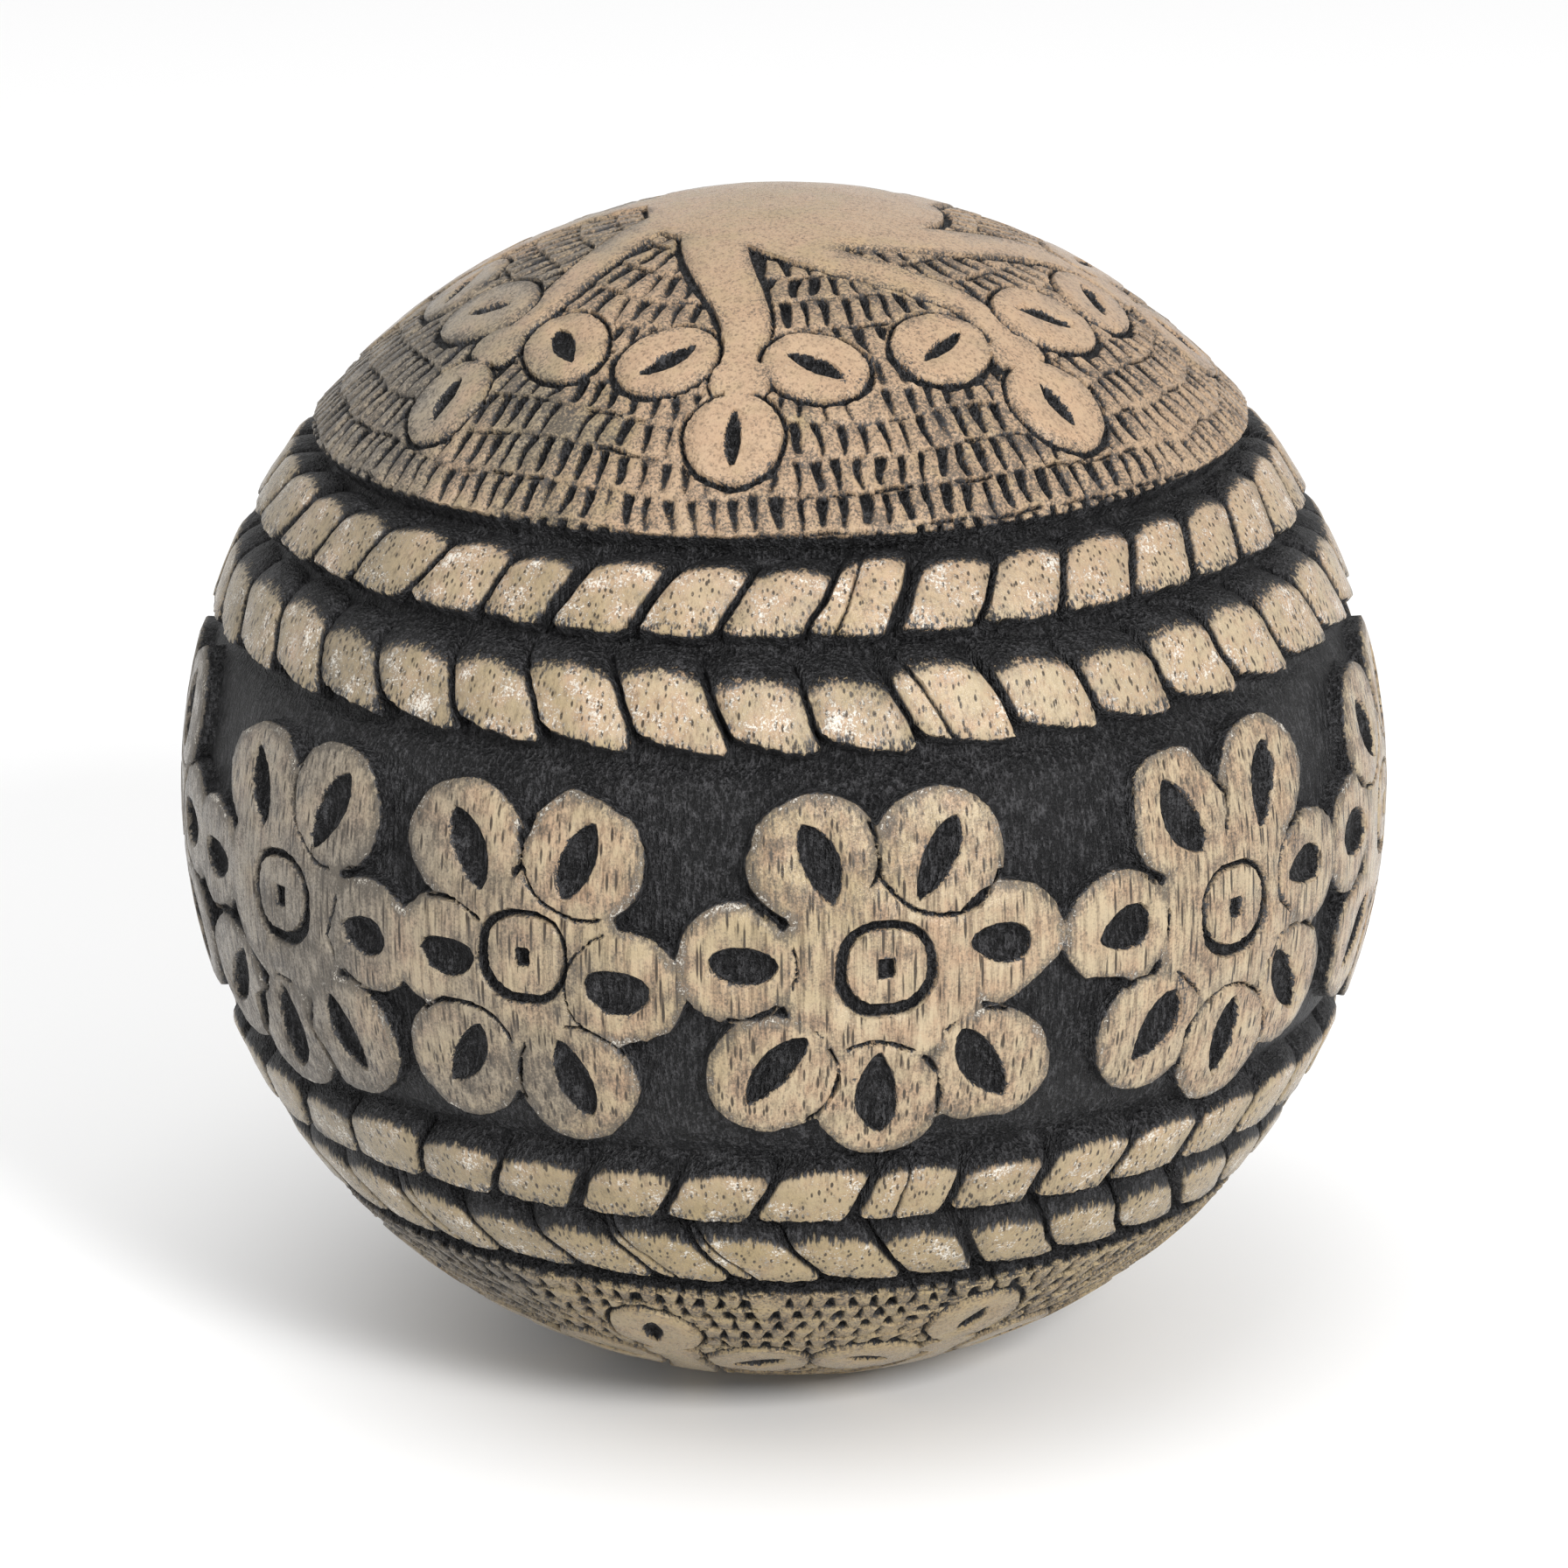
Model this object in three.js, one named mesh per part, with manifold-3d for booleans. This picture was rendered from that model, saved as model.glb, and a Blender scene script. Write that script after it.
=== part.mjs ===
// A decorative wooden ball, turned and then carved by hand: a cap at each pole with sprays of three petals
// on a lowered field, two rope mouldings above and two below, and a belt of raised flowers on a sunk ground.
// Millimetres, +Z up, origin at the middle of the flat spot that the ball stands on.
// Azimuth 0 is the front, facing -Y, and grows towards +X. Latitude 0 is the ball's waist.

import * as THREE from "three";
import { mergeVertices } from "three/addons/utils/BufferGeometryUtils.js";
import Module from "manifold-3d";

const wasm = await Module();
wasm.setup();

// Driving dimensions: lengths in millimetres, places on the ball in degrees.
const waistRadius = 50; // over the flowers
const poleRadius = 49.5; // the ball is very slightly flattened
const footDepth = 48.6; // from the ball's centre down to the flat spot
const capSides = 26; // facets round the turned caps
const groundSides = 20; // facets round the sunk ground, nearly all of it under the flowers

const fieldDepth = 0.6; // the lowered field round the sprays on both caps
const groundDepth = 1.5; // the sunk ground round the flowers
const grooveDepth = 2.0; // the turned grooves that part the mouldings
const rootDepth = 2.5; // how far raised carving reaches below the surface it stands on

const discLatitude = 76; // edge of the smooth disc round the upper pole
const capEdges = { upper: 39.4, lower: -38.3 };
const groundEdges = { upper: 20.5, lower: -22 };

// Ropes come in pairs cut with the same number of strands. Each runs from its head down to its foot, and
// lean is how far a cut between two strands moves sideways from the foot to the head.
const ropePairs = [
  { strands: 39, ropes: [{ head: 36.4, foot: 30.1, lean: 4.6 }, { head: 26.3, foot: 19.9, lean: -2.8 }] },
  { strands: 38, ropes: [{ head: -21.3, foot: -27.4, lean: 2.2 }, { head: -30.1, foot: -36.3, lean: -4.6 }] },
];
const crown = { depth: 0, inset: 0.8, cutDepth: 0.9 };

// The flowers were set out by eye, so their spacing wanders a little.
const flowers = [
  { azimuth: -86, form: "full" },
  { azimuth: -53, form: "full" },
  { azimuth: -24, form: "narrow" },
  { azimuth: 9, form: "full" },
  { azimuth: 45, form: "full" },
  { azimuth: 80, form: "full" },
  { azimuth: 112, form: "narrow" },
  { azimuth: 145, form: "full" },
  { azimuth: 177, form: "full" },
  { azimuth: 209, form: "narrow" },
  { azimuth: 242, form: "full" },
];

// Petal centres in millimetres from the flower's eye, on the right-hand side; the left mirrors them.
const flowerForms = {
  full: [
    { x: 11.2, y: 0.6, pit: "side" },
    { x: 5.4, y: 9.2, pit: "long" },
    { x: 8.6, y: -9.0, pit: "long" },
    { x: 0, y: -11.8, pit: "long" },
  ],
  narrow: [
    { x: 7.6, y: -1.2, pit: "side" },
    { x: 5.2, y: 8.6, pit: "long" },
    { x: 5.0, y: -10.2, pit: "long" },
  ],
};
const petalRadius = 4.7;
const petalSteps = 2;
const petalRoundness = 0.72; // share of a petal's width at which its outline is sampled
const pits = {
  long: { length: 6.0, width: 3.0, depth: 1.3, sides: 6 },
  side: { length: 4.8, width: 3.8, depth: 1.3, sides: 5 },
  slit: { length: 5.0, width: 1.8, depth: 0.8, sides: 4 },
};
const eye = { bossRadius: 6.2, ringRadius: 3.7, ringWidth: 1.1, ringDepth: 0.9, pitRadius: 0.9, sides: 8 };

// Sprays of three petals lie round the upper pole, each joined to the smooth disc by an arm that swings
// round as it runs out. Single petals lie round the lower pole.
const sprayAzimuths = [-104, -54.5, -6.5, 43, 89, 142, -155];
const lowerPetals = { count: 8, first: -19, latitude: -47.5, sides: 7 };
const spray = {
  polar: 31, // from the pole to the point where the petals meet
  petalRadius: 4.4,
  throatRadius: 1.5, // half the width left between the side petals where the arm comes in
  reach: 5.6, // from that point to the middle of a side petal
  outerReach: 7.6,
  spread: 100, // angle between the outer petal and each side petal
};
const arm = { innerPolar: 11.5, swing: -34, rootWidth: 5, tipWidth: 2.6, steps: 2 };

const rad = THREE.MathUtils.degToRad;
const degrees = THREE.MathUtils.radToDeg;

// A point of the turned profile: latitude in degrees, depth below the ball's skin.
function profilePoint(latitude, depth) {
  const angle = rad(latitude);
  return new THREE.Vector2(
    (waistRadius - depth) * Math.cos(angle),
    (poleRadius - depth) * Math.sin(angle),
  );
}

// Numbers from one to another in equal steps, with both ends.
function evenSteps(from, to, steps) {
  return Array.from({ length: steps + 1 }, (_, i) => from + ((to - from) * i) / steps);
}

// A closed three.js geometry as a manifold solid.
function solid(geometry) {
  const bare = geometry.clone();
  bare.deleteAttribute("normal");
  bare.deleteAttribute("uv");
  const merged = mergeVertices(bare, 1e-4);
  return new wasm.Manifold(
    new wasm.Mesh({
      numProp: 3,
      vertProperties: merged.attributes.position.array,
      triVerts: new Uint32Array(merged.index.array),
    }),
  );
}

function geometryOf(shape) {
  const mesh = shape.getMesh();
  const geometry = new THREE.BufferGeometry();
  geometry.setAttribute("position", new THREE.BufferAttribute(mesh.vertProperties, 3));
  geometry.setIndex(new THREE.BufferAttribute(mesh.triVerts, 1));
  return geometry;
}

function joined(solids) {
  return solids.reduce((whole, piece) => whole.add(piece));
}

// A drum turned round the ball's axis, flat and closed above and below. Rows climb towards the upper pole.
function drum(rows, sides) {
  const rim = rows.map(([latitude, depth]) => profilePoint(latitude, depth));
  const profile = [new THREE.Vector2(0, rim[0].y), ...rim];
  const last = rim[rim.length - 1];
  if (last.x > 1e-6) profile.push(new THREE.Vector2(0, last.y));
  return new THREE.LatheGeometry(profile, sides);
}

// Stands a turned shape upright, from three.js's own axis to the ball's.
function upright(geometry) {
  return solid(geometry.rotateX(Math.PI / 2));
}

// Two ropes and the groove between them. Every strand has two columns: the cut beside it, then its crown.
function ropeDrum({ strands, ropes }) {
  const [upper, lower] = ropes;
  const ropeRows = ({ head, foot, lean }) => [
    { latitude: foot + crown.inset, depth: crown.depth, cut: crown.cutDepth, shift: -lean / 2 },
    { latitude: head - crown.inset, depth: crown.depth, cut: crown.cutDepth, shift: lean / 2 },
  ];
  const groove = (latitude, shift) => ({ latitude, depth: grooveDepth, cut: 0, shift });
  const rows = [
    groove(lower.foot - 1, -lower.lean / 2),
    ...ropeRows(lower),
    groove(upper.foot - 1.2, (lower.lean - upper.lean) / 4),
    ...ropeRows(upper),
    groove(upper.head + 1.5, upper.lean / 2),
  ];
  const geometry = drum(rows.map(({ latitude, depth }) => [latitude, depth]), strands * 2);
  const position = geometry.getAttribute("position");
  const rowsInColumn = rows.length + 2;
  const point = new THREE.Vector3();
  for (let i = 0; i < position.count; i++) {
    const column = Math.floor(i / rowsInColumn);
    const row = rows[(i % rowsInColumn) - 1];
    if (!row) continue;
    point.fromBufferAttribute(position, i);
    if (column % 2 === 0) point.setLength(point.length() - row.cut);
    point.applyAxisAngle(THREE.Object3D.DEFAULT_UP, rad(row.shift));
    position.setXYZ(i, point.x, point.y, point.z);
  }
  return upright(geometry);
}

// Wraps a shape drawn flat onto the ball: x runs east and y north from the given place, z stays the height.
function wrapped(flat, azimuth, latitude, turn = 0) {
  const a = rad(azimuth);
  const l = rad(latitude);
  const east = new THREE.Vector3(Math.cos(a), Math.sin(a), 0);
  const north = new THREE.Vector3(-Math.sin(l) * Math.sin(a), Math.sin(l) * Math.cos(a), Math.cos(l));
  const out = new THREE.Vector3(Math.cos(l) * Math.sin(a), -Math.cos(l) * Math.cos(a), Math.sin(l));
  const skin = profilePoint(latitude, 0);
  const place = new THREE.Matrix4()
    .makeBasis(east, north, out)
    .setPosition(skin.x * Math.sin(a), -skin.x * Math.cos(a), skin.y);
  const geometry = geometryOf(flat).rotateZ(rad(turn));
  const position = geometry.getAttribute("position");
  const point = new THREE.Vector3();
  for (let i = 0; i < position.count; i++) {
    const height = position.getZ(i);
    point.set(position.getX(i), position.getY(i), 0).applyMatrix4(place).normalize();
    const ratio = waistRadius / poleRadius;
    const skinRadius = waistRadius / Math.hypot(point.x, point.y, point.z * ratio);
    point.multiplyScalar(skinRadius + height);
    position.setXYZ(i, point.x, point.y, point.z);
  }
  return solid(geometry);
}

// A flat block that rises from its root, below a sunk surface of the given depth, to the ball's skin.
function block(outline, sunkDepth) {
  const height = sunkDepth + rootDepth;
  const geometry = new THREE.ExtrudeGeometry(outline, { depth: height, bevelEnabled: false });
  return solid(geometry.translate(0, 0, -height));
}

// A gouged pit with a pointed oval mouth and sloping sides, longest along the line from the origin.
function pit({ length, width, depth, sides }, x, y) {
  const above = 0.5;
  const mouth = (depth + above) / depth / 2;
  const cone = new THREE.ConeGeometry(1, depth + above, sides)
    .rotateX(-Math.PI / 2)
    .scale(width * mouth, length * mouth, 1)
    .translate(0, 0, (above - depth) / 2)
    .rotateZ(Math.atan2(-x, y))
    .translate(x, y, 0);
  return solid(cone);
}

function polygon(radius, sides) {
  return Array.from({ length: sides }, (_, i) => {
    const angle = (2 * Math.PI * i) / sides;
    return new THREE.Vector2(radius * Math.cos(angle), radius * Math.sin(angle));
  });
}

// How far a ray from the origin runs before it leaves a round petal, or nothing if it misses.
function farSide({ x, y, radius }, angle) {
  const along = x * Math.cos(angle) + y * Math.sin(angle);
  const aside = x * x + y * y - along * along;
  return aside < radius * radius ? along + Math.sqrt(radius * radius - aside) : 0;
}

// The outline of petals round a boss: a notch between each two petals, and a few points round each petal.
function petalOutline(petals, bossRadius) {
  const around = petals
    .map((petal) => ({ petal, bearing: Math.atan2(petal.y, petal.x) }))
    .sort((one, other) => one.bearing - other.bearing);
  const angles = around.flatMap(({ petal, bearing }, i) => {
    const next = around[(i + 1) % around.length].bearing + (i + 1 === around.length ? 2 * Math.PI : 0);
    const half = Math.asin(petal.radius / Math.hypot(petal.x, petal.y)) * petalRoundness;
    const steps = evenSteps(-half, half, petalSteps).map((step) => bearing + step);
    return [...steps.filter((angle) => angle < (bearing + next) / 2 - 0.05), (bearing + next) / 2];
  });
  const kept = [...new Set(angles)].sort((one, other) => one - other);
  return kept.map((angle) => {
    const reach = Math.max(bossRadius, ...petals.map((petal) => farSide(petal, angle)));
    return new THREE.Vector2(reach * Math.cos(angle), reach * Math.sin(angle));
  });
}

// The V ring round the eye, and the small square pit in its middle.
function eyeCuts() {
  const { ringRadius, ringWidth, ringDepth, pitRadius, sides } = eye;
  const mouth = ringWidth / 2 / ringDepth;
  const height = 1;
  const profile = [
    new THREE.Vector2(ringRadius, -ringDepth),
    new THREE.Vector2(ringRadius + mouth * (ringDepth + height), height),
    new THREE.Vector2(ringRadius - mouth * (ringDepth + height), height),
    new THREE.Vector2(ringRadius, -ringDepth),
  ];
  const ring = solid(new THREE.LatheGeometry(profile, sides).rotateX(Math.PI / 2));
  return ring.add(pit({ length: 2 * pitRadius, width: 2 * pitRadius, depth: ringDepth, sides: 4 }, 0, 0));
}

function flower({ azimuth, form }) {
  const petals = flowerForms[form].flatMap(({ x, y, pit: kind }) =>
    (x === 0 ? [1] : [-1, 1]).map((side) => ({ x: side * x, y, kind, radius: petalRadius })),
  );
  const outline = new THREE.Shape(petalOutline(petals, eye.bossRadius));
  const cuts = joined([eyeCuts(), ...petals.map(({ x, y, kind }) => pit(pits[kind], x, y))]);
  return wrapped(block(outline, groundDepth).subtract(cuts), azimuth, 0);
}

// Three petals that meet at one point.
function sprayHead(azimuth) {
  const petals = [-1, 0, 1].map((side) => {
    const bearing = side * rad(spray.spread) - Math.PI / 2;
    const reach = side === 0 ? spray.outerReach : spray.reach;
    return { x: reach * Math.cos(bearing), y: reach * Math.sin(bearing), radius: spray.petalRadius };
  });
  const head = block(new THREE.Shape(petalOutline(petals, spray.throatRadius)), fieldDepth);
  const slits = petals.map(({ x, y }) => pit(pits.slit, x, y));
  return wrapped(head.subtract(joined(slits)), azimuth, 90 - spray.polar);
}

// One curved arm, from the smooth disc out to its spray.
function sprayArm(azimuth) {
  const edge = (side) =>
    evenSteps(0, 1, arm.steps).map((t) => {
      const reach = waistRadius * Math.tan(rad(arm.innerPolar + (spray.polar - arm.innerPolar) * t));
      const width = arm.rootWidth + (arm.tipWidth - arm.rootWidth) * t;
      const angle = rad(azimuth + arm.swing * (1 - t) ** 1.5) + (side * width) / 2 / reach;
      return new THREE.Vector2(reach * Math.sin(angle), -reach * Math.cos(angle));
    });
  const outline = new THREE.Shape([...edge(-1).reverse(), ...edge(1)]);
  return wrapped(block(outline, fieldDepth), 0, 90);
}

// One round petal with its slit, on the lower cap.
function lowerPetal(_, index) {
  const { count, first, latitude, sides } = lowerPetals;
  const round = block(new THREE.Shape(polygon(spray.petalRadius, sides)), fieldDepth);
  const slit = pit(pits.slit, 0, 0);
  return wrapped(round.subtract(slit), first + (360 * index) / count, latitude);
}

function upperCap() {
  const field = evenSteps(capEdges.upper, discLatitude, 3).map((latitude) => [latitude, fieldDepth]);
  const rows = [[capEdges.upper - 2.5, grooveDepth], ...field, [discLatitude, 0], [83, 0], [90, 0]];
  return upright(drum(rows, capSides));
}

function groundDrum() {
  const rows = evenSteps(groundEdges.lower, groundEdges.upper, 2).map((latitude) => [latitude, groundDepth]);
  return upright(drum(rows, groundSides));
}

function lowerCap() {
  const footLatitude = -degrees(Math.asin(footDepth / poleRadius));
  const field = evenSteps(-70, capEdges.lower, 3).map((latitude) => [latitude, fieldDepth]);
  return upright(drum([[footLatitude, 0], ...field, [capEdges.lower + 2.2, grooveDepth]], capSides));
}

const rubbedWood = new THREE.MeshStandardMaterial({ color: 0xc0aa86, roughness: 0.6, metalness: 0 });

function carvedBall() {
  const shape = joined([
    upperCap(),
    groundDrum(),
    lowerCap(),
    ...ropePairs.map(ropeDrum),
    ...flowers.map(flower),
    ...sprayAzimuths.map(sprayHead),
    ...sprayAzimuths.map(sprayArm),
    ...Array.from({ length: lowerPetals.count }, lowerPetal),
  ]);
  const geometry = geometryOf(shape);
  geometry.computeVertexNormals();
  return new THREE.Mesh(geometry, rubbedWood);
}

const ball = carvedBall();
ball.name = "carved_ball";
ball.position.z = footDepth;

const part = new THREE.Group();
part.add(ball);

export default part;
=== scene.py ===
from functools import partialmethod
import math

import bpy
import numpy as np
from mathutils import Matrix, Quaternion, Vector


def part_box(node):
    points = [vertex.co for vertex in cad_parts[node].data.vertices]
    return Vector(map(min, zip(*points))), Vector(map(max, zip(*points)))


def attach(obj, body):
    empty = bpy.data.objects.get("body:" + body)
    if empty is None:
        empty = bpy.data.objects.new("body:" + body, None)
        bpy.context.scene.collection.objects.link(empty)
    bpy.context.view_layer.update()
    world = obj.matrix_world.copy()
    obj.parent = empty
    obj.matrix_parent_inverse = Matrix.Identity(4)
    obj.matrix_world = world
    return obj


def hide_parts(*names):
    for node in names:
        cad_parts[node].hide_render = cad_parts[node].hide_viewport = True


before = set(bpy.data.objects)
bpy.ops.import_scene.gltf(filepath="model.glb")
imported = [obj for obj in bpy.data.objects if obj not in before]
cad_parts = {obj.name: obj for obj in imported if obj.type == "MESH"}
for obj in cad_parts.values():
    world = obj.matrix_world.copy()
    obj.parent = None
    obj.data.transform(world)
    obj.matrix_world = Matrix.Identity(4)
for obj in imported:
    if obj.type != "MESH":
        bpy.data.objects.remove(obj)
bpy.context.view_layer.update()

# lengths are in millimetres and places in degrees, until a mesh is made in metres
turned = {
    "flattening": 0.99,  # height of the ball as a share of its width
    # depth below the skin of the grooves, the belt's ground, the caps' fields and the raised carving
    "grooveDepth": 2.0, "groundDepth": 1.5, "fieldDepth": 0.17, "topDepth": 0.03,
    # latitudes over which a surface begins
    "upperCap": (39.1, 39.6), "lowerCap": (-38.3, -38.8), "capStray": 0.6,
    "upperGround": (18.95, 17.65), "lowerGround": (-20.5, -19.6),
    # the ground dips towards the ropes, so that it meets their grooves without a step
    "upperDip": (15.45, 18.95), "lowerDip": (-17.5, -20.5),
    "toolMarks": 0.14, "toolMarksInField": 0.4, "handWear": 0.06, "groundSwell": 0.12,
    # patterns: features to the millimetre, detail, roughness, and length along the fibres as a divisor
    "toolPattern": (0.6, 2.0, 0.5, 0.35), "wearPattern": (0.3, 2.0), "swellPattern": (0.2, 1.0),
}
mm = 0.001
low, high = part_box("carved_ball")
waistRadius = (high.x - low.x) / 2 / mm
poleRadius = turned["flattening"] * waistRadius
centreZ = high.z / mm - poleRadius
girth = 2 * math.pi * waistRadius
degree = girth / 360  # millimetres to a degree round the waist
farOff = 9.0  # stands for a distance to something that isn't near


# a number inside a node tree, so that sums can be written as sums
class Wire:
    def __init__(self, tree, socket):
        self.tree, self.socket = tree, socket

    def run(self, operation, *others):
        node = self.tree.nodes.new("ShaderNodeMath")
        node.operation = operation
        for slot, item in zip(node.inputs, (self,) + others):
            plug(item, slot)
        return Wire(self.tree, node.outputs[0])

    __add__ = __radd__ = partialmethod(run, "ADD")
    __sub__ = partialmethod(run, "SUBTRACT")
    __mul__ = __rmul__ = partialmethod(run, "MULTIPLY")
    __truediv__ = partialmethod(run, "DIVIDE")
    floor = partialmethod(run, "FLOOR")
    part = partialmethod(run, "FRACT")
    size = partialmethod(run, "ABSOLUTE")
    least = partialmethod(run, "MINIMUM")
    most = partialmethod(run, "MAXIMUM")
    wrapped = partialmethod(run, "FLOORED_MODULO")

    def __rsub__(self, other):
        return (self * -1.0) + other

    def squared(self):
        return self * self

    def held(self):
        return self.least(1.0).most(0.0)

    # smooth step from 0 at start to 1 at end; start may be the larger of the two
    def ramp(self, start, end):
        node = self.tree.nodes.new("ShaderNodeMapRange")
        node.interpolation_type = "SMOOTHSTEP"
        falling = start > end
        node.inputs["From Min"].default_value = min(start, end)
        node.inputs["From Max"].default_value = max(start, end)
        node.inputs["To Min"].default_value = float(falling)
        node.inputs["To Max"].default_value = float(not falling)
        plug(self, node.inputs["Value"])
        return Wire(self.tree, node.outputs["Result"])


def plug(item, slot):
    if isinstance(item, Wire):
        item.tree.links.new(item.socket, slot)
    else:
        slot.default_value = item


# one where the share is 0 and the other where it is 1
def blendOf(one, other, share):
    return share * (other - one) + one


def parted(tree, vector):
    split = tree.nodes.new("ShaderNodeSeparateXYZ")
    tree.links.new(vector, split.inputs[0])
    return [Wire(tree, socket) for socket in split.outputs]


def vectorOf(tree, *items):
    node = tree.nodes.new("ShaderNodeCombineXYZ")
    for slot, item in zip(node.inputs, items):
        plug(item, slot)
    return node.outputs[0]


def scaled(tree, vector, scale):
    node = tree.nodes.new("ShaderNodeVectorMath")
    node.operation = "MULTIPLY"
    tree.links.new(vector, node.inputs[0])
    node.inputs[1].default_value = scale
    return node.outputs[0]


# noise from -1 to 1, so many features to the millimetre, drawn out along the fibres from pole to pole
def noiseAt(tree, vector, scale, detail=2.0, rough=0.5, alongFibres=1.0):
    node = tree.nodes.new("ShaderNodeTexNoise")
    tree.links.new(scaled(tree, vector, (1, 1, alongFibres)), node.inputs["Vector"])
    node.inputs["Scale"].default_value = scale
    node.inputs["Detail"].default_value = detail
    node.inputs["Roughness"].default_value = rough
    return Wire(tree, node.outputs[0]) * 2.0 - 1.0


# distance to scattered points, in units of their spacing
def pointsAt(tree, vector, scale, alongFibres):
    node = tree.nodes.new("ShaderNodeTexVoronoi")
    tree.links.new(scaled(tree, vector, (1, 1, alongFibres)), node.inputs["Vector"])
    node.inputs["Scale"].default_value = scale
    return Wire(tree, node.outputs["Distance"])


# a random share from 0 to 1, the same wherever x, y and the seed are the same
def chance(tree, x, y, seed):
    node = tree.nodes.new("ShaderNodeTexWhiteNoise")
    node.noise_dimensions = "3D"
    tree.links.new(vectorOf(tree, x, y, seed), node.inputs["Vector"])
    return Wire(tree, node.outputs["Value"])


# 1 south of each latitude, to choose values by
def bands(lat, limits):
    return [lat.run("LESS_THAN", limit) for limit in limits]


# one of several values, listed from north to south
def pick(south, values):
    chosen = values[0]
    for flag, before, after in zip(south, values, values[1:]):
        chosen = flag.run("MULTIPLY_ADD", after - before, chosen)
    return chosen


hand = {
    "slow": (0.07, 1.0), "quick": (0.26, 1.0),  # patterns of the hand's stray, from -1 to 1
    "torn": (1.1, 3.0, 0.6, 0.3), "tornSize": 0.42, "tornDrift": 0.3,  # torn fibres, in millimetres
}


# the slow and the quicker wander of a hand, and the ragged line of torn fibres
def handWander(tree, vector):
    slow, quick = noiseAt(tree, vector, *hand["slow"]), noiseAt(tree, vector, *hand["quick"])
    torn = noiseAt(tree, vector, *hand["torn"]) * hand["tornSize"] + slow * hand["tornDrift"]
    return slow, quick, torn


# ropes and chisel nicks are worked out alike for the mesh and for the stain
ropes = {
    # one value for each rope, from north to south
    "foot": [30.1, 19.4, -27.4, -36.4],    # lower edge of the strands
    "crown": [35.5, 24.8, -22.5, -31.6],   # where the upper shoulder starts to fall
    "groove": [38.5, 29.3, -20.4, -28.3],  # deepest line above the strands
    "strands": [39, 39, 38, 38],
    "lean": [3.1, -2.1, 1.9, -3.3],        # how far a cut travels from the foot to the crown
    "phase": [0.745, 0.55, 0.37, 0.60],    # shift round the ball, as a share of a strand
    "scallop": [0.35, 1.5, 0.4, 0.7],      # how round the lower ends are
    "limits": [29.7, 0, -27.9],            # latitudes that part one rope from the next
    # the cuts between strands
    "wander": 0.2, "jitter": 0.07,         # how far a cut strays, as a share of a strand
    "cutWidth": (0.34, 0.85), "cutDepth": 1.1, "cutForce": (0.8, 1.2),
    # the strands themselves
    "corner": 1.2, "cornerRise": 0.5, "wall": (0.15, -0.35),
    "dome": 0.17, "unequal": 0.14,
    "arch": 0.8, "shoulderStray": 0.8, "shoulderRise": 0.6, "tornShoulder": 0.5,
    # a thin cut that halves a strand now and then
    "halved": 0.14, "halvedFade": 0.01, "thinCutFrom": 0.25, "thinCutSpread": 2.0, "thinCutLean": 0.02,
    "strandWidth": 9.0, "thinCutWidth": 0.35, "thinCutDepth": 0.5,
    "underGroove": 0.25,                   # how far the deepest cut goes below the grooves
    "cutSeed": 2.0, "strandSeed": 5.0,
}


# depth of the four ropes and of the grooves beside them,
# with the height above a strand's foot and the fall of its shoulder
def ropeDepth(tree, lon, lat, slow, quick, torn):
    south = bands(lat, ropes["limits"])

    def given(*keys):
        return [pick(south, ropes[key]) for key in keys]

    foot, crown, groove = given("foot", "crown", "groove")
    strands, lean, phase, scallop = given("strands", "lean", "phase", "scallop")
    rise = lat - foot
    slant = lon - rise / (crown - foot) * lean
    turns = slant * strands / 360 + phase + slow * ropes["wander"] + quick * ropes["jitter"]
    cutNumber = (turns + 0.5).floor()
    aside = (turns - cutNumber).size() * girth / strands * (lat * math.pi / 180).run("COSINE")
    luck = chance(tree, cutNumber.wrapped(strands), foot, ropes["cutSeed"])
    broad = blendOf(*ropes["cutWidth"], luck.squared() * luck)
    share = turns.part()
    own = chance(tree, turns.floor().wrapped(strands), foot, ropes["strandSeed"])

    split = share - own * ropes["thinCutSpread"] - ropes["thinCutFrom"] + rise * ropes["thinCutLean"]
    halving = (split.size() * ropes["strandWidth"]).ramp(ropes["thinCutWidth"], 0.0) \
        * own.ramp(ropes["halved"], ropes["halved"] - ropes["halvedFade"])

    corner = (ropes["corner"] - aside).most(0.0).squared() * ropes["cornerRise"]
    above = rise * degree - (corner + (1.0 - share).squared() * scallop) + torn
    rounding = ((share - 0.5) * 2.0).squared()
    shoulder = lat + torn * ropes["tornShoulder"] + rounding * ropes["arch"] \
        + own * ropes["shoulderStray"] - ropes["shoulderRise"]
    fall = ((shoulder - crown) / (groove - crown)).held().squared()
    cut = (1.0 - aside / broad).held() * ropes["cutDepth"] * blendOf(*ropes["cutForce"], luck)
    dome = rounding * ropes["dome"] + own * ropes["unequal"] + turned["topDepth"]
    body = fall.most(above.ramp(*ropes["wall"])) * turned["grooveDepth"] \
        + cut.most(halving * ropes["thinCutDepth"]) + dome
    return body.least(turned["grooveDepth"] + ropes["underGroove"]), above, fall


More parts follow.
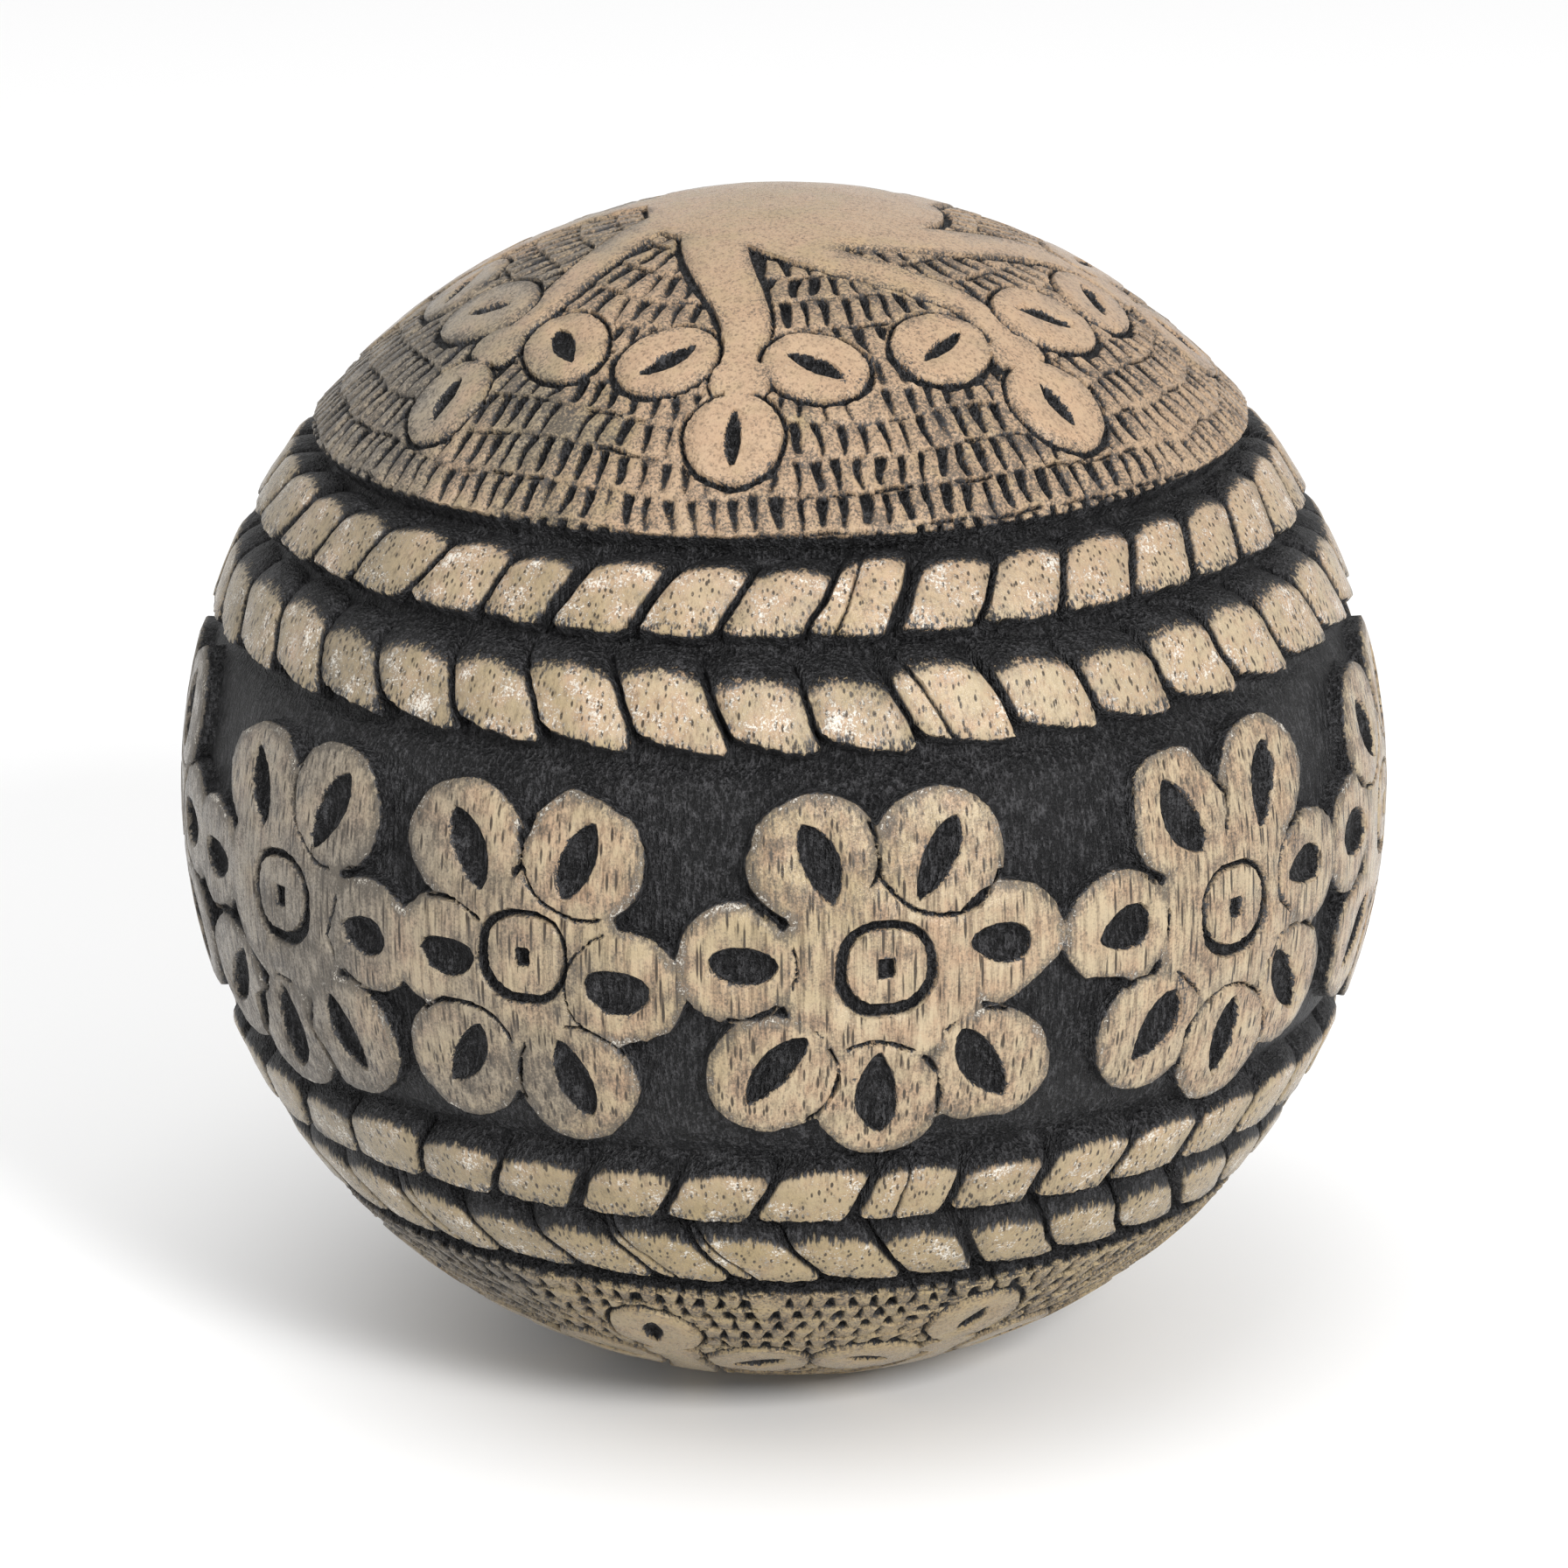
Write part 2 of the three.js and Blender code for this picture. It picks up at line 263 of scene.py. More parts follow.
nicks = {
    # upper cap and lower
    "row": [3.35, 2.1],       # from row to row
    "pitch": [1.72, 1.75],    # from nick to nick along a row
    "width": [0.57, 0.6],
    "depth": 0.8, "faint": 0.5, "faintPatches": (-0.55, 0.25),
    "shingle": 0.17,          # how deep each row is tipped under the one above it
    "rowStray": (0.45, 0.14), "columnStray": 0.45, "twist": 0.5, "fewest": 6.0,
    # widths from the narrowest nick to the widest, then widths and depths from a nick's start to its end
    "unequal": (0.45, 1.35), "taper": (1.22, 0.6), "force": (1.1, 0.6),
    "wall": (-0.2, 0.16), "start": (-0.04, 0.07), "end": (1.12, 0.9),
    "lateStart": 0.12, "earlyEnd": 0.16, "missing": 0.07,
    "ledge": 0.4, "ledgeEdge": (0.12, 0.02), "ledgePatches": (0.4, 0.95),
    "fromOutline": (0.25, 0.8), "stainFromOutline": (0.25, 0.6),  # no nick this near to a petal or an arm
    "rowSeed": 1.0, "nickSeed": 4.0, "shortSeed": 9.0,
}


# chisel nicks in rows round a pole, and how far each row is tipped under the one above it
def nickRows(tree, lon, lat, slow, quick):
    polar = 90.0 - lat.size()
    south = bands(lat, [0])
    row, pitch, width = [pick(south, nicks[key]) for key in ("row", "pitch", "width")]
    rows = polar * degree / row + slow * nicks["rowStray"][0] + quick * nicks["rowStray"][1]
    rowNumber, along = rows.floor(), rows.part()
    count = ((rowNumber + 0.5) * row / waistRadius).run("SINE") * girth / pitch
    count = count.run("ROUND").most(nicks["fewest"])
    columns = lon / 360 * count + chance(tree, rowNumber, south[0], nicks["rowSeed"]) \
        + along * slow * nicks["twist"] + quick * nicks["columnStray"]
    columnNumber = columns.floor().wrapped(count)
    luck = chance(tree, columnNumber, rowNumber, south[0] + nicks["nickSeed"])
    short = chance(tree, columnNumber, rowNumber, nicks["shortSeed"])
    aside = (columns.part() - 0.5).size() * pitch
    broad = width * blendOf(*nicks["unequal"], luck) * blendOf(*nicks["taper"], along)
    slot = (broad * 0.5 - aside).ramp(*nicks["wall"])
    ends = (along - short * nicks["lateStart"]).ramp(*nicks["start"]) \
        * (along + luck * nicks["earlyEnd"]).ramp(*nicks["end"]) * short.ramp(0.0, nicks["missing"])
    force = blendOf(nicks["faint"], 1.0, slow.ramp(*nicks["faintPatches"]))
    force = force * blendOf(*nicks["force"], along)
    ledge = along.ramp(*nicks["ledgeEdge"]) * (short + slow * 0.5).ramp(*nicks["ledgePatches"])
    return (slot * ends * force).most(ledge * nicks["ledge"]), 1.0 - along


def unit(lonDegrees, latDegrees):
    lon, lat = np.radians(lonDegrees), np.radians(latDegrees)
    return np.array([np.cos(lat) * np.sin(lon), -np.cos(lat) * np.cos(lon), np.sin(lat)])


# numpy's own smooth step, 0 at start and 1 at end
def step(value, start, end):
    t = np.clip((value - start) / (end - start), 0, 1)
    return t * t * (3 - 2 * t)


# a wave so many times round, which starts anywhere
def wave(angle, times, rng):
    return np.sin(times * angle + rng.uniform(0, 6))


# a round that isn't quite round
def lumpy(angle, rng, share):
    return 1 + share * (wave(angle, 2, rng) + 0.7 * wave(angle, 3, rng) + 0.4 * wave(angle, 7, rng))


# the vertices near a mark, with their places east and north of it in millimetres
class Patch:
    def __init__(self, points, lon, lat, reach):
        middle = unit(lon, lat)
        east = unit(lon + 90, 0)
        north = np.cross(middle, east)
        self.near = np.nonzero(points @ middle > math.cos(reach / waistRadius))[0]
        local = points[self.near]
        stretch = np.arccos(np.clip(local @ middle, -1, 1))
        stretch = waistRadius * stretch / np.maximum(np.sin(stretch), 1e-6)
        self.x = local @ east * stretch
        self.y = local @ north * stretch

    # places along a bearing and across it
    def turnedTo(self, bearing, x=0, y=0):
        x, y = self.x + x, self.y + y
        sine, cosine = math.sin(bearing), math.cos(bearing)
        return x * sine + y * cosine, x * cosine - y * sine


gouges = {
    "fatterEnd": (-0.3, 0.3), "bow": (-0.14, 0.14), "endSlope": 0.7,  # how uneven a pointed oval is
    "pitWall": (-0.12, 0.26), "wallShare": 0.55,  # a pit falls steeply at its edge, then to a crease
}


# how far inside a pointed oval each place lies
def ovalInside(along, across, length, width, point, rng):
    u = np.clip(2 * along / length, -1, 1)
    half = width / 2 * (1 - u * u) ** point * (1 + rng.uniform(*gouges["fatterEnd"]) * u)
    across = across - rng.uniform(*gouges["bow"]) * width * (1 - u * u)
    return np.minimum(half - np.abs(across), gouges["endSlope"] * (length / 2 - np.abs(along)))


def pitDepth(inside, width, depth):
    wall = step(inside, *gouges["pitWall"])
    crease = np.clip(2 * inside / width, 0, 1)
    return depth * (gouges["wallShare"] * wall + (1 - gouges["wallShare"]) * crease)


# adds a cut: the deepest depth wins, and so does the outermost edge
def engrave(marks, near, depth, inside):
    marks["gouge"][near] = np.maximum(marks["gouge"][near], depth)
    marks["cut"][near] = np.maximum(marks["cut"][near], inside)


belt = {
    "flowers": [(-86, "tall"), (-53.3, "leaning"), (-24.1, "narrow"), (8.9, "full"), (45.2, "tall"),
                (80, "full"), (112, "narrow"), (145, "leaning"), (177, "full"), (209, "narrow"),
                (242, "full")],
    # middles of the petals, in degrees east and north of the flower's eye
    "forms": {
        "full": [(-6.7, 10.3), (5.2, 10.8), (11.3, 1.4), (-13.4, 0.9), (-10.3, -10.1), (-0.7, -13.4),
                 (9.4, -10.8)],
        "leaning": [(-4.6, 9.9), (7.3, 9.7), (12.0, -0.8), (-13.2, 0.5), (-11.3, -10.9), (-1.5, -13.7),
                    (8.6, -11.8)],
        "tall": [(-6.5, 10.6), (5.2, 11.0), (11.4, 1.0), (-13.3, 0.8), (-9.8, -9.9), (-0.5, -13.3),
                 (8.9, -10.3)],
        "narrow": [(-6.2, 9.8), (5.6, 9.4), (9.2, -2.4), (-8.0, -1.0), (-6.7, -11.2), (4.4, -12.2)],
    },
    # from here on, a plural holds the least and the most of a size, as shares of it
    "seed": 5, "reach": 24, "flowerReach": 24, "petalReach": 10,
    # outline: wall is how far the carving's side slopes, web how much neighbours melt together
    "petalRadius": 5.15, "sideShare": 0.93, "bossRadius": 8.3, "wall": (-0.42, 0.02), "web": 0.2,
    "wear": 0.06, "wornEdge": (0.75, 0.1), "lumps": 0.022, "petalStray": 0.2, "chips": 0.09,
    "chipsRound": (17, 25), "flats": 3, "flatReach": (0.84, 1.12),  # sides pared flat by the knife
    # length and width of the pits, and how sharply their ends come to a point
    "tallPit": (7.3, 3.2, 0.75), "sidePit": (5.1, 3.8, 0.55), "pitDepth": 1.25,
    "tallFrom": 4, "pitLean": 0.8, "pitTurn": 0.1, "pitInward": 0.5,
    "pitLengths": (0.92, 1.08), "pitWidths": (0.82, 1.1),
    # the ring round the eye, drawn in two weights, with its thick side at a bearing in radians
    "ringRadius": 3.7, "thinRing": 0.3, "thinRings": (0.9, 2.4), "thickRing": 1.05,
    "thickSide": (2.5, 4.5), "ringDepth": 0.85, "ringWall": (-0.12, 0.14),
    "squareness": 2.4, "ringLumps": 0.015,
    "eyeRadius": 0.7, "eyes": (0.85, 1.15), "eyeTall": 0.8, "eyeWall": (-0.12, 0.3),
    # lines scored between petals, slivers cut out there, and hairlines that run on across the boss
    "scoreWidth": 0.42, "scores": (0.6, 1.3), "scoreDepth": 0.75, "scoreWall": (-0.1, 0.12),
    "scoreInset": 0.15, "slivers": 0.35, "sliverWall": (0.0, 0.25), "sliverInset": 0.12,
    "hairlines": 0.5, "hairWidth": (0.1, 0.2), "hairShare": 0.7, "hairInset": 0.1, "hairFromRim": 0.8,
}


# a round V cut, thicker on one side, with a small square pit in its middle
def carveEye(eye, around, angle, rng, marks):
    power = belt["squareness"]
    square = (np.abs(eye.x) ** power + np.abs(eye.y) ** power) ** (1 / power)
    thin = belt["thinRing"] * rng.uniform(*belt["thinRings"])
    weight = (0.5 + 0.5 * np.sin(angle + rng.uniform(*belt["thickSide"]))) ** 1.5
    thick = thin + (belt["thickRing"] - thin) * weight
    radius = belt["ringRadius"] * lumpy(angle, rng, belt["ringLumps"])
    ring = thick / 2 - np.abs(square - radius + thick * 0.2)
    engrave(marks, eye.near, belt["ringDepth"] * step(ring, *belt["ringWall"]), ring)
    pupil = belt["eyeRadius"] * rng.uniform(*belt["eyes"]) \
        - np.maximum(np.abs(eye.x), np.abs(eye.y) * belt["eyeTall"])
    engrave(marks, eye.near, step(pupil, *belt["eyeWall"]), pupil)


# distance to a petal's outline, less than 0 inside, and how far its chipped edge strays
def petalOutline(x, y, size, rng):
    bend = np.arctan2(y, x)
    radius = belt["petalRadius"] * lumpy(bend, rng, belt["lumps"]) * size
    distance = np.hypot(x, y) - radius
    for _ in range(belt["flats"]):
        flat = math.radians(rng.uniform(0, 360))
        pared = x * math.cos(flat) + y * math.sin(flat) - radius * rng.uniform(*belt["flatReach"])
        distance = np.maximum(distance, pared)
    chips = belt["chips"] * wave(bend, rng.integers(*belt["chipsRound"]), rng) * wave(bend, 7, rng)
    return distance, chips * step(wave(bend, 2, rng), 0.2, 0.8)


# where one petal overlaps the next, its edge is scored and the sliver between is sometimes cut out
def scorePetals(eye, around, one, other, rng, marks):
    if rng.random() < belt["slivers"]:
        sliver = -np.maximum(one, other)
        depth = belt["scoreDepth"] * step(sliver, *belt["sliverWall"])
        engrave(marks, eye.near, depth, sliver - belt["sliverInset"])
    edge, beyond = (one, other) if rng.random() < 0.5 else (other, one)
    width = belt["scoreWidth"] * rng.uniform(*belt["scores"]) * (0.8 + 0.4 * wave(around, 1.9, rng))
    score = np.minimum(width / 2 - np.abs(edge + belt["scoreInset"]), 1.0 - beyond)
    engrave(marks, eye.near, belt["scoreDepth"] * step(score, *belt["scoreWall"]), score)


def carveFlower(points, azimuth, petals, rng, total, marks):
    eye = Patch(points, azimuth, 0, belt["flowerReach"])
    around, angle = np.hypot(eye.x, eye.y), np.arctan2(eye.y, eye.x)
    total[eye.near] += np.exp((belt["bossRadius"] - around) / belt["web"])
    carveEye(eye, around, angle, rng, marks)
    own = points[eye.near]
    fields = []
    for east, north in petals:
        tall = abs(north) > belt["tallFrom"]
        petal = Patch(own, azimuth + east, north, belt["petalReach"])
        near = eye.near[petal.near]
        petal.x = petal.x - rng.normal(0, belt["petalStray"])
        petal.y = petal.y - rng.normal(0, belt["petalStray"])
        distance, chips = petalOutline(petal.x, petal.y, 1.0 if tall else belt["sideShare"], rng)
        total[near] += np.exp((chips - distance) / belt["web"])
        field = np.full(len(own), farOff)
        field[petal.near] = distance
        fields.append(field)

        bearing = math.atan(east / north) * belt["pitLean"] if tall else math.pi / 2
        bearing = bearing + rng.normal(0, belt["pitTurn"])
        inward = belt["pitInward"] / math.hypot(east, north)
        length, width, point = belt["tallPit"] if tall else belt["sidePit"]
        length = length * rng.uniform(*belt["pitLengths"])
        width = width * rng.uniform(*belt["pitWidths"])
        along, across = petal.turnedTo(bearing, east * inward, north * inward)
        inside = ovalInside(along, across, length, width, point, rng)
        engrave(marks, near, pitDepth(inside, width, belt["pitDepth"]), inside)
        if rng.random() < belt["hairlines"]:  # the petal's round is drawn on across the middle
            hair = rng.uniform(*belt["hairWidth"]) - np.abs(field + belt["hairInset"])
            hair = np.minimum(hair, belt["bossRadius"] - belt["hairFromRim"] - around)
            depth = belt["scoreDepth"] * belt["hairShare"] * step(hair, *belt["scoreWall"])
            engrave(marks, eye.near, depth, hair)

    order = sorted(range(len(fields)), key=lambda i: math.atan2(*petals[i]))
    for i, j in zip(order, order[1:] + order[:1]):
        scorePetals(eye, around, fields[i], fields[j], rng, marks)


def carveBelt(points, marks):
    rng = np.random.default_rng(belt["seed"])
    total = np.full(len(points), 1e-12)  # never 0, as its logarithm is taken
    for azimuth, form in belt["flowers"]:
        carveFlower(points, azimuth, belt["forms"][form], rng, total, marks)
    inside = belt["web"] * np.log(total)
    top = step(inside, *belt["wall"]) * (1 - belt["wear"] * step(inside, *belt["wornEdge"]))
    marks["raised"] = np.maximum(marks["raised"], top)
    mine = np.abs(points[:, 2]) < math.sin(math.radians(belt["reach"]))
    marks["margin"][mine] = -inside[mine]


caps = {
    # each spray: azimuth, how far its arm swings back to the disc, half widths of the arm at root and tip
    "upper": {
        "sprays": [(-103, -14, 2.2, 1.3), (-54.5, -15, 2.1, 1.4), (-6.5, -27, 2.8, 1.6),
                   (43, -52, 2.1, 1.1), (89, -60, 2.7, 1.4), (142, -36, 2.3, 1.3), (-155, -24, 2.4, 1.4)],
        "disc": 14.0, "outer": 40.2, "side": 30.9, "swing": 13.6, "seed": 11,
    },
    "lower": {
        "sprays": [(-64 + 45 * i, -20, 2.4, 1.5) for i in range(8)],
        "disc": 17.0, "outer": 42.6, "side": 34.0, "swing": 13.2, "seed": 23,
    },
    # from here on, a plural holds the least and the most of a size, as shares of it
    "reach": 52, "petalReach": 9, "hubReach": 12,
    "discStray": (1.3, 0.5), "discLean": 20,  # a slow and a quick wave round the disc's edge
    # the hub that joins an arm to its petals, and the arm's bend
    "hubBack": 6.6, "hubRadius": 2.45, "neck": 0.6,
    "armFrom": 3, "armInto": 0.8, "bendEnd": 0.72, "bendPower": 1.7, "bendSlope": 2.4,
    "petalLong": 4.5, "petalWide": 3.85, "petals": (0.93, 1.07), "lumps": 0.024, "petalStray": 0.5,
    "swings": (0.92, 1.05), "sideBearing": 56, "petalTurn": 0.12,
    "slitLength": 5.2, "slitLengths": (0.9, 1.12), "slitWidth": 1.7, "slitWidths": (0.7, 1.15),
    "slitDepth": 1.0, "slitPoint": 0.9,
    # outlines, heavier towards the foot of each petal
    "thinLine": 0.34, "thickLine": 0.8, "thickLines": (0.3, 1),
    "lineDepth": 0.78, "lineWall": (-0.14, 0.12),
    "heavySide": (-0.1, 0.8), "heavyTurn": 0.5, "overlap": (-0.1, 0.2), "side": (-0.3, 0.05),
    "armLine": (1.4, 0.8),  # width round the arms and how much it swells, in thin lines
}


def carveSprayPetal(own, azimuth, side, layout, hubAway, petals, rng, drawn):
    swung = azimuth + side * layout["swing"] * rng.uniform(*caps["swings"])
    polar = (layout["side"] if side else layout["outer"]) + rng.normal(0, caps["petalStray"])
    petal = Patch(own, swung, 90 - polar, caps["petalReach"])
    near = petal.near
    bearing = math.radians(-side * caps["sideBearing"]) + rng.normal(0, caps["petalTurn"])
    along, across = petal.turnedTo(bearing)
    size = rng.uniform(*caps["petals"]) * lumpy(np.arctan2(across, along), rng, caps["lumps"])
    oval = np.hypot(along / caps["petalLong"], across / caps["petalWide"])
    distance = (oval / size - 1) * caps["petalWide"]

    bend = np.arctan2(petal.y, petal.x)
    heavy = step(np.cos(bend + math.pi / 2 + rng.normal(0, caps["heavyTurn"])), *caps["heavySide"])
    heavy = heavy * (0.75 + 0.25 * wave(bend, 9, rng)) * rng.uniform(*caps["thickLines"])
    width = caps["thinLine"] + (caps["thickLine"] - caps["thinLine"]) * heavy
    # the newer petal lies over what was cut before, and its outline stops at the older one and at the hub
    line = np.minimum(width / 2 - np.abs(distance - width / 2), petals[near])
    line = np.minimum(line, hubAway[near] + (0 if side else caps["neck"]))
    drawn["gouge"][near] *= step(distance, *caps["overlap"])
    drawn["cut"][near] = np.minimum(drawn["cut"][near], distance)
    engrave(drawn, near, caps["lineDepth"] * step(line, *caps["lineWall"]), line)

    length = caps["slitLength"] * rng.uniform(*caps["slitLengths"])
    width = caps["slitWidth"] * rng.uniform(*caps["slitWidths"])
    slit = ovalInside(along, across, length, width, caps["slitPoint"], rng)
    engrave(drawn, near, pitDepth(slit, width, caps["slitDepth"]), slit)
    petals[near] = np.minimum(petals[near], distance)


# distance to an arm, which runs from the disc to its hub and swings round as it goes
def armAway(lon, polar, azimuth, swing, root, tip, layout):
    start = layout["disc"] - caps["armFrom"]
    stop = layout["outer"] - caps["hubBack"] + caps["armInto"]
    t = np.clip((polar - start) / (stop - start), 0, 1)
    bent = (1 - t / caps["bendEnd"]).clip(0, 1)
    middle = azimuth + swing * bent ** caps["bendPower"]
    ringShare = np.sin(np.radians(polar))
    away = np.radians((lon - middle + 180) % 360 - 180) * ringShare * waistRadius
    slope = swing * caps["bendSlope"] * bent ** (caps["bendPower"] - 1) / (stop - start)
    distance = np.abs(away) / np.hypot(1, slope * ringShare) - (root + (tip - root) * t)
    return np.where((polar > start) & (polar < stop), distance, farOff)


# one cap: a smooth disc, arms that swing out of it, and a spray of three slit petals at the end of each
def carveCap(points, marks, pole, layout):
    rng = np.random.default_rng(layout["seed"])
    own = points * np.array([1, 1, pole])
    polar = np.degrees(np.arccos(np.clip(own[:, 2], -1, 1)))
    lon = np.degrees(np.arctan2(own[:, 0], -own[:, 1]))
    slowStray, quickStray = caps["discStray"]
    stray = slowStray * np.sin(np.radians(lon - caps["discLean"]))
    stray = stray + quickStray * np.sin(np.radians(lon * 5))
    smooth = (polar - layout["disc"] - stray) * degree
    petals = np.full(len(points), farOff)
    drawn = {"gouge": np.zeros(len(points)), "cut": np.full(len(points), -farOff)}
    for azimuth, swing, root, tip in layout["sprays"]:
        hub = Patch(own, azimuth, 90 - layout["outer"] + caps["hubBack"], caps["hubReach"])
        hubAway = np.full(len(points), farOff)
        hubAway[hub.near] = np.hypot(hub.x, hub.y) - caps["hubRadius"]
        for side in (-1, 0, 1):
            carveSprayPetal(own, azimuth, side, layout, hubAway, petals, rng, drawn)
        arm = armAway(lon, polar, azimuth, swing, root, tip, layout)
        smooth = np.minimum(smooth, np.minimum(arm, hubAway))

    nearest = np.minimum(smooth, petals)
    mine = np.nonzero(own[:, 2] > math.cos(math.radians(caps["reach"])))[0]
    mean, sway = caps["armLine"]
    width = caps["thinLine"] * (mean + sway * np.sin(np.radians(lon * 3 + polar * 9)))
    outline = np.minimum(width / 2 - np.abs(smooth - width / 2), petals)
    engrave(drawn, mine, caps["lineDepth"] * step(outline, *caps["lineWall"])[mine], outline[mine])
    engrave(marks, mine, drawn["gouge"][mine], drawn["cut"][mine])
    marks["raised"][mine] = np.maximum(marks["raised"][mine], step(-nearest, *caps["side"])[mine])
    marks["margin"][mine] = nearest[mine]


# a new tree with a named input for each value
def newTree(name, values):
    tree = bpy.data.node_groups.new(name, "GeometryNodeTree")
    tree.interface.new_socket("Geometry", in_out="INPUT", socket_type="NodeSocketGeometry")
    for title, value in values.items():
        kind = "NodeSocketInt" if isinstance(value, int) else "NodeSocketFloat"
        tree.interface.new_socket(title, in_out="INPUT", socket_type=kind).default_value = value
    tree.interface.new_socket("Geometry", in_out="OUTPUT", socket_type="NodeSocketGeometry")
    return tree, tree.nodes.new("NodeGroupInput")


def endTree(tree, geometry, finish):
    real = tree.nodes.new("GeometryNodeRealizeInstances")
    tree.links.new(geometry, real.inputs[0])
    coat = tree.nodes.new("GeometryNodeSetMaterial")
    coat.inputs["Material"].default_value = finish
    tree.links.new(real.outputs[0], coat.inputs["Geometry"])
    tree.links.new(coat.outputs[0], tree.nodes.new("NodeGroupOutput").inputs[0])


def addNodes(thing, tree, values):
    modifier = thing.modifiers.new(tree.name, "NODES")
    modifier.node_group = tree
    for item in tree.interface.items_tree:
        if item.in_out == "INPUT" and item.name in values:
            modifier[item.identifier] = values[item.name]


def baked(thing, name):
    graph = bpy.context.evaluated_depsgraph_get()
    made = bpy.data.meshes.new_from_object(
        thing.evaluated_get(graph), preserve_all_data_layers=True, depsgraph=graph)
    made.name = name
    return made


def newThing(name, data):
    thing = bpy.data.objects.new(name, data)
    bpy.context.scene.collection.objects.link(thing)
    return thing


mesh = {"subdivisions": 9, "triangles": 195000, "sharp": 55}


# a round ball of radius 1, fine enough to carve
def roundBlank(finish):
    values = {"Subdivisions": mesh["subdivisions"]}
    tree, start = newTree("roundBlank", values)
    ball = tree.nodes.new("GeometryNodeMeshIcoSphere")
    tree.links.new(start.outputs["Subdivisions"], ball.inputs["Subdivisions"])
    ball.inputs["Radius"].default_value = 1.0
    endTree(tree, ball.outputs[0], finish)
    thing = newThing("blank", bpy.data.meshes.new("blank"))
    addNodes(thing, tree, values)
    made = baked(thing, "blank")
    bpy.data.objects.remove(thing)
    return made


# longitude and latitude of a direction from the ball's centre
def placeOnBall(tree, vector):
    x, y, z = parted(tree, vector)
    lon = x.run("ARCTAN2", y * -1.0) * (180 / math.pi)
    lat = z.run("ARCTAN2", (x * x + y * y).run("SQRT")) * (180 / math.pi)
    return lon, lat


# shares of the surface that belong to the caps and to the sunk ground of the belt
def zones(lat, torn):
    ragged = lat + torn * turned["capStray"]
    onCap = ragged.ramp(*turned["upperCap"]).most(ragged.ramp(*turned["lowerCap"]))
    onGround = lat.ramp(*turned["upperGround"]) * lat.ramp(*turned["lowerGround"])
    return onCap, onGround


# turns the round blank into the carved ball: grooves, ropes, sunk ground, nicks and the laid-out carving
def carvingTree(values, finish):
    tree, start = newTree("carving", values)
    given = {socket.name: Wire(tree, socket) for socket in start.outputs if socket.type == "VALUE"}

    def attribute(name):
        node = tree.nodes.new("GeometryNodeInputNamedAttribute")
        node.data_type = "FLOAT"
        node.inputs[0].default_value = name
        return Wire(tree, node.outputs[0])

    position = tree.nodes.new("GeometryNodeInputPosition").outputs[0]
    vector = scaled(tree, position, (waistRadius,) * 3)
    lon, lat = placeOnBall(tree, position)
    raised, gouge, margin = attribute("raised"), attribute("gouge"), attribute("margin")
    slow, quick, torn = handWander(tree, vector)
    onCap, onGround = zones(lat, torn)
    wear = (noiseAt(tree, vector, *turned["wearPattern"]) + 1.0) * given["Hand Wear"]
    tool = noiseAt(tree, vector, *turned["toolPattern"]) * given["Tool Marks"]
    top = wear + turned["topDepth"]

    dip = lat.ramp(*turned["upperDip"]).most(lat.ramp(*turned["lowerDip"]))
    ground = given["Ground Depth"] + dip * (turned["grooveDepth"] - turned["groundDepth"]) + tool \
        + noiseAt(tree, vector, *turned["swellPattern"]) * turned["groundSwell"]
    beltDepth = blendOf(ground, top, raised).most(gouge)

    nick, tipped = nickRows(tree, lon, lat, slow, quick)
    nicked = tipped * nicks["shingle"] + nick * given["Nick Depth"]
    field = given["Field Depth"] + nicked * margin.ramp(*nicks["fromOutline"]) \
        + tool * turned["toolMarksInField"]
    capDepth = blendOf(field, top, raised).most(gouge)

    depth = ropeDepth(tree, lon, lat, slow, quick, torn)[0] + wear
    depth = blendOf(blendOf(depth, beltDepth, onGround), capDepth, onCap)

    x, y, z = parted(tree, position)
    ring = (given["Waist Radius"] - depth) * mm
    height = (given["Pole Radius"] - depth) * z + given["Centre Height"]
    place = tree.nodes.new("GeometryNodeSetPosition")
    tree.links.new(start.outputs[0], place.inputs["Geometry"])
    tree.links.new(vectorOf(tree, ring * x, ring * y, height.most(0.0) * mm), place.inputs["Position"])
    endTree(tree, place.outputs[0], finish)
    return tree


def carvedBall(finish):
    blank = roundBlank(finish)
    count = len(blank.vertices)
    points = np.empty(count * 3, np.float32)
    blank.vertices.foreach_get("co", points)
    points = points.reshape(-1, 3).astype(float)
    # how far the carving stands up, how deep it is cut, and the distances to its edge and into its cuts
    marks = {"raised": np.zeros(count), "gouge": np.zeros(count),
             "margin": np.full(count, farOff), "cut": np.full(count, -farOff)}
    carveBelt(points, marks)
    carveCap(points, marks, 1, caps["upper"])
    carveCap(points, marks, -1, caps["lower"])
    for name, values in marks.items():
        values = values.clip(-2, 2).astype(np.float32)
        blank.attributes.new(name, "FLOAT", "POINT").data.foreach_set("value", values)
    print("laid out flowers and sprays on", count, "points")

    thing = newThing("carvedBall", blank)
    values = {
        "Ground Depth": turned["groundDepth"], "Field Depth": turned["fieldDepth"],
        "Nick Depth": nicks["depth"], "Tool Marks": turned["toolMarks"], "Hand Wear": turned["handWear"],
        "Waist Radius": waistRadius, "Pole Radius": poleRadius, "Centre Height": centreZ,
    }
    addNodes(thing, carvingTree(values, finish), values)
    thin = thing.modifiers.new("thin", "DECIMATE")
    thin.ratio = min(1.0, mesh["triangles"] / len(blank.polygons))
    made = baked(thing, "carvedBall")
    thing.modifiers.clear()
    thing.data = made
    for name in ("raised", "gouge"):
        made.attributes.remove(made.attributes[name])
    made.shade_smooth()
    made.set_sharp_from_angle(angle=math.radians(mesh["sharp"]))
    print("carved ball has", len(made.polygons), "faces")
    return thing


